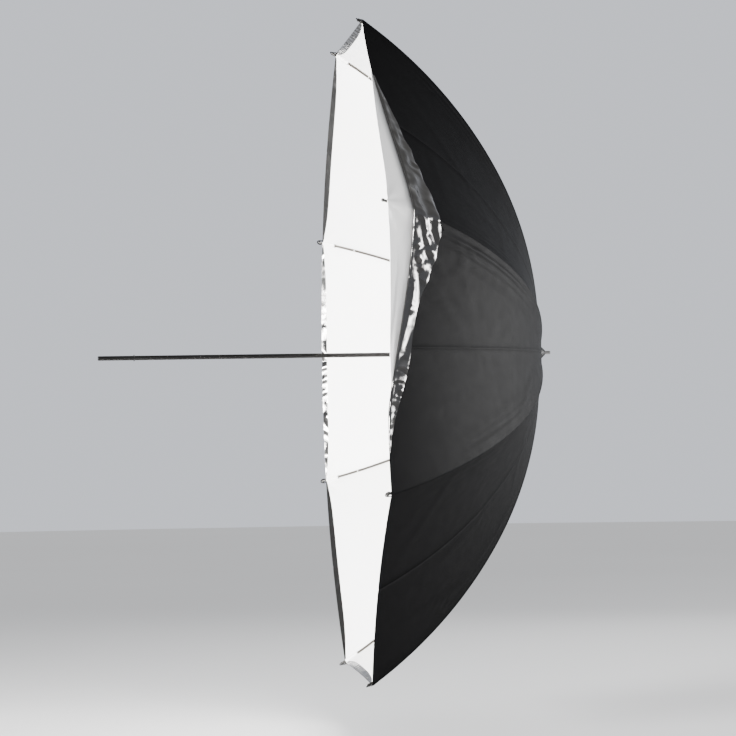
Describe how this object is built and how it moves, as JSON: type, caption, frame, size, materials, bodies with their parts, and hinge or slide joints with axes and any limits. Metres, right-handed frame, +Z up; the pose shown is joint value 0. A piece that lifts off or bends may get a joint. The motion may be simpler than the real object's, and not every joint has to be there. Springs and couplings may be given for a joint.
{
  "type": "umbrella reflector",
  "caption": "Folding photographic umbrella with a white bowl on steel ribs and a removable black cover lined in silver, one corner turned back.",
  "frame": {"origin": "on the shaft's axis, in the clamping stretch near its free end", "axes": "+X along the shaft from the free end to the apex, +Z up with rib 1 22.5 degrees from it towards -Y"},
  "size_m": [0.6923, 0.9752, 0.9752],
  "materials": {
    "shaft_steel": "satin steel tube, dark plated",
    "rib_steel": "plated spring steel",
    "bright_steel": "bright plated",
    "black_plastic": "moulded, slightly satin",
    "white_fabric": "white satin weave",
    "black_fabric": "black coated nylon",
    "silver_lining": "silver coating on the cover's inside"
  },
  "bodies": {
    "shaft": {"shaft_tube": "shaft_steel", "shaft_end_plug": "black_plastic", "stop_ring": "shaft_steel", "top_notch": "black_plastic", "notch_wire": "bright_steel", "apex_washer": "bright_steel", "apex_cap": "black_plastic", "tip_button": "bright_steel"},
    "catch": {"top_catch": "bright_steel"},
    "runner": {"runner": "black_plastic", "runner_wire": "bright_steel"},
    "rib_1": {"rib_1_inner": "rib_steel", "canopy_panel_1": "white_fabric", "cover_panel_1": "black_fabric"},
    "rib_1_end": {"rib_1_outer": "rib_steel", "rib_1_tip": "bright_steel"},
    "stretcher_1": {"stretcher_1": "rib_steel"},
    "rib_2": {"rib_2_inner": "rib_steel", "canopy_panel_2": "white_fabric", "cover_panel_2": "black_fabric"},
    "rib_2_end": {"rib_2_outer": "rib_steel", "rib_2_tip": "bright_steel", "cover_flap": "silver_lining"},
    "stretcher_2": {"stretcher_2": "rib_steel"},
    "rib_3": {"rib_3_inner": "rib_steel", "canopy_panel_3": "white_fabric", "cover_panel_3": "black_fabric"},
    "rib_3_end": {"rib_3_outer": "rib_steel", "rib_3_tip": "bright_steel"},
    "stretcher_3": {"stretcher_3": "rib_steel"},
    "rib_4": {"rib_4_inner": "rib_steel", "canopy_panel_4": "white_fabric", "cover_panel_4": "black_fabric"},
    "rib_4_end": {"rib_4_outer": "rib_steel", "rib_4_tip": "bright_steel"},
    "stretcher_4": {"stretcher_4": "rib_steel"},
    "rib_5": {"rib_5_inner": "rib_steel", "canopy_panel_5": "white_fabric", "cover_panel_5": "black_fabric"},
    "rib_5_end": {"rib_5_outer": "rib_steel", "rib_5_tip": "bright_steel"},
    "stretcher_5": {"stretcher_5": "rib_steel"},
    "rib_6": {"rib_6_inner": "rib_steel", "canopy_panel_6": "white_fabric", "cover_panel_6": "black_fabric"},
    "rib_6_end": {"rib_6_outer": "rib_steel", "rib_6_tip": "bright_steel"},
    "stretcher_6": {"stretcher_6": "rib_steel"},
    "rib_7": {"rib_7_inner": "rib_steel", "canopy_panel_7": "white_fabric", "cover_panel_7": "black_fabric"},
    "rib_7_end": {"rib_7_outer": "rib_steel", "rib_7_tip": "bright_steel"},
    "stretcher_7": {"stretcher_7": "rib_steel"},
    "rib_8": {"rib_8_inner": "rib_steel", "canopy_panel_8": "white_fabric", "cover_panel_8": "black_fabric"},
    "rib_8_end": {"rib_8_outer": "rib_steel", "rib_8_tip": "bright_steel"},
    "stretcher_8": {"stretcher_8": "rib_steel"}
  },
  "joints": [
    {"name": "rib_1_fold", "type": "hinge", "parent": "shaft", "child": "rib_1", "pos_m": [0.6385, -0.00402, 0.0097], "axis": [0, -0.9239, -0.3827], "range_deg": [0, 67], "deforming": ["canopy_panel_1", "cover_panel_1"]},
    {"name": "rib_1_bend", "type": "hinge", "parent": "rib_1", "child": "rib_1_end", "pos_m": [0.55785, -0.1149, 0.27739], "axis": [0, -0.9239, -0.3827], "range_deg": [-22, 0]},
    {"name": "stretcher_1_fold", "type": "hinge", "parent": "rib_1", "child": "stretcher_1", "pos_m": [0.55867, -0.11156, 0.26934], "axis": [0, -0.9239, -0.3827], "range_deg": [-134, 0]},
    {"name": "rib_2_fold", "type": "hinge", "parent": "shaft", "child": "rib_2", "pos_m": [0.6385, -0.0097, 0.00402], "axis": [0, -0.3827, -0.9239], "range_deg": [0, 67], "deforming": ["canopy_panel_2", "cover_panel_2"]},
    {"name": "rib_2_bend", "type": "hinge", "parent": "rib_2", "child": "rib_2_end", "pos_m": [0.55785, -0.27739, 0.1149], "axis": [0, -0.3827, -0.9239], "range_deg": [-22, 0], "deforming": ["cover_flap"]},
    {"name": "stretcher_2_fold", "type": "hinge", "parent": "rib_2", "child": "stretcher_2", "pos_m": [0.55867, -0.26934, 0.11156], "axis": [0, -0.3827, -0.9239], "range_deg": [-134, 0]},
    {"name": "rib_3_fold", "type": "hinge", "parent": "shaft", "child": "rib_3", "pos_m": [0.6385, -0.0097, -0.00402], "axis": [0, 0.3827, -0.9239], "range_deg": [0, 67], "deforming": ["canopy_panel_3", "cover_panel_3"]},
    {"name": "rib_3_bend", "type": "hinge", "parent": "rib_3", "child": "rib_3_end", "pos_m": [0.55785, -0.27739, -0.1149], "axis": [0, 0.3827, -0.9239], "range_deg": [-22, 0]},
    {"name": "stretcher_3_fold", "type": "hinge", "parent": "rib_3", "child": "stretcher_3", "pos_m": [0.55867, -0.26934, -0.11156], "axis": [0, 0.3827, -0.9239], "range_deg": [-134, 0]},
    {"name": "rib_4_fold", "type": "hinge", "parent": "shaft", "child": "rib_4", "pos_m": [0.6385, -0.00402, -0.0097], "axis": [0, 0.9239, -0.3827], "range_deg": [0, 67], "deforming": ["canopy_panel_4", "cover_panel_4"]},
    {"name": "rib_4_bend", "type": "hinge", "parent": "rib_4", "child": "rib_4_end", "pos_m": [0.55785, -0.1149, -0.27739], "axis": [0, 0.9239, -0.3827], "range_deg": [-22, 0]},
    {"name": "stretcher_4_fold", "type": "hinge", "parent": "rib_4", "child": "stretcher_4", "pos_m": [0.55867, -0.11156, -0.26934], "axis": [0, 0.9239, -0.3827], "range_deg": [-134, 0]},
    {"name": "rib_5_fold", "type": "hinge", "parent": "shaft", "child": "rib_5", "pos_m": [0.6385, 0.00402, -0.0097], "axis": [0, 0.9239, 0.3827], "range_deg": [0, 67], "deforming": ["canopy_panel_5", "cover_panel_5"]},
    {"name": "rib_5_bend", "type": "hinge", "parent": "rib_5", "child": "rib_5_end", "pos_m": [0.55785, 0.1149, -0.27739], "axis": [0, 0.9239, 0.3827], "range_deg": [-22, 0]},
    {"name": "stretcher_5_fold", "type": "hinge", "parent": "rib_5", "child": "stretcher_5", "pos_m": [0.55867, 0.11156, -0.26934], "axis": [0, 0.9239, 0.3827], "range_deg": [-134, 0]},
    {"name": "rib_6_fold", "type": "hinge", "parent": "shaft", "child": "rib_6", "pos_m": [0.6385, 0.0097, -0.00402], "axis": [0, 0.3827, 0.9239], "range_deg": [0, 67], "deforming": ["canopy_panel_6", "cover_panel_6"]},
    {"name": "rib_6_bend", "type": "hinge", "parent": "rib_6", "child": "rib_6_end", "pos_m": [0.55785, 0.27739, -0.1149], "axis": [0, 0.3827, 0.9239], "range_deg": [-22, 0]},
    {"name": "stretcher_6_fold", "type": "hinge", "parent": "rib_6", "child": "stretcher_6", "pos_m": [0.55867, 0.26934, -0.11156], "axis": [0, 0.3827, 0.9239], "range_deg": [-134, 0]},
    {"name": "rib_7_fold", "type": "hinge", "parent": "shaft", "child": "rib_7", "pos_m": [0.6385, 0.0097, 0.00402], "axis": [0, -0.3827, 0.9239], "range_deg": [0, 67], "deforming": ["canopy_panel_7", "cover_panel_7"]},
    {"name": "rib_7_bend", "type": "hinge", "parent": "rib_7", "child": "rib_7_end", "pos_m": [0.55785, 0.27739, 0.1149], "axis": [0, -0.3827, 0.9239], "range_deg": [-22, 0]},
    {"name": "stretcher_7_fold", "type": "hinge", "parent": "rib_7", "child": "stretcher_7", "pos_m": [0.55867, 0.26934, 0.11156], "axis": [0, -0.3827, 0.9239], "range_deg": [-134, 0]},
    {"name": "rib_8_fold", "type": "hinge", "parent": "shaft", "child": "rib_8", "pos_m": [0.6385, 0.00402, 0.0097], "axis": [0, -0.9239, 0.3827], "range_deg": [0, 67], "deforming": ["canopy_panel_8", "cover_panel_8"]},
    {"name": "rib_8_bend", "type": "hinge", "parent": "rib_8", "child": "rib_8_end", "pos_m": [0.55785, 0.1149, 0.27739], "axis": [0, -0.9239, 0.3827], "range_deg": [-22, 0]},
    {"name": "stretcher_8_fold", "type": "hinge", "parent": "rib_8", "child": "stretcher_8", "pos_m": [0.55867, 0.11156, 0.26934], "axis": [0, -0.9239, 0.3827], "range_deg": [-134, 0]},
    {"name": "runner_level", "type": "hinge", "parent": "stretcher_1", "child": "runner", "pos_m": [0.47884, -0.00402, 0.0097], "axis": [0, -0.9239, -0.3827], "range_deg": [0, 67]},
    {"name": "catch_press", "type": "hinge", "parent": "shaft", "child": "catch", "pos_m": [0.42784, 0, 0.00125], "axis": [0, 1, 0], "range_deg": [0, 6], "stiffness_Nm_per_rad": 0.05}
  ],
  "couplings": [
    {"joint": "rib_1_bend", "follows": "rib_1_fold", "ratio": -0.32836},
    {"joint": "stretcher_1_fold", "follows": "rib_1_fold", "ratio": -2},
    {"joint": "rib_2_fold", "follows": "rib_1_fold", "ratio": 1},
    {"joint": "rib_2_bend", "follows": "rib_1_fold", "ratio": -0.32836},
    {"joint": "stretcher_2_fold", "follows": "rib_1_fold", "ratio": -2},
    {"joint": "rib_3_fold", "follows": "rib_1_fold", "ratio": 1},
    {"joint": "rib_3_bend", "follows": "rib_1_fold", "ratio": -0.32836},
    {"joint": "stretcher_3_fold", "follows": "rib_1_fold", "ratio": -2},
    {"joint": "rib_4_fold", "follows": "rib_1_fold", "ratio": 1},
    {"joint": "rib_4_bend", "follows": "rib_1_fold", "ratio": -0.32836},
    {"joint": "stretcher_4_fold", "follows": "rib_1_fold", "ratio": -2},
    {"joint": "rib_5_fold", "follows": "rib_1_fold", "ratio": 1},
    {"joint": "rib_5_bend", "follows": "rib_1_fold", "ratio": -0.32836},
    {"joint": "stretcher_5_fold", "follows": "rib_1_fold", "ratio": -2},
    {"joint": "rib_6_fold", "follows": "rib_1_fold", "ratio": 1},
    {"joint": "rib_6_bend", "follows": "rib_1_fold", "ratio": -0.32836},
    {"joint": "stretcher_6_fold", "follows": "rib_1_fold", "ratio": -2},
    {"joint": "rib_7_fold", "follows": "rib_1_fold", "ratio": 1},
    {"joint": "rib_7_bend", "follows": "rib_1_fold", "ratio": -0.32836},
    {"joint": "stretcher_7_fold", "follows": "rib_1_fold", "ratio": -2},
    {"joint": "rib_8_fold", "follows": "rib_1_fold", "ratio": 1},
    {"joint": "rib_8_bend", "follows": "rib_1_fold", "ratio": -0.32836},
    {"joint": "stretcher_8_fold", "follows": "rib_1_fold", "ratio": -2},
    {"joint": "runner_level", "follows": "rib_1_fold", "ratio": 1}
  ]
}
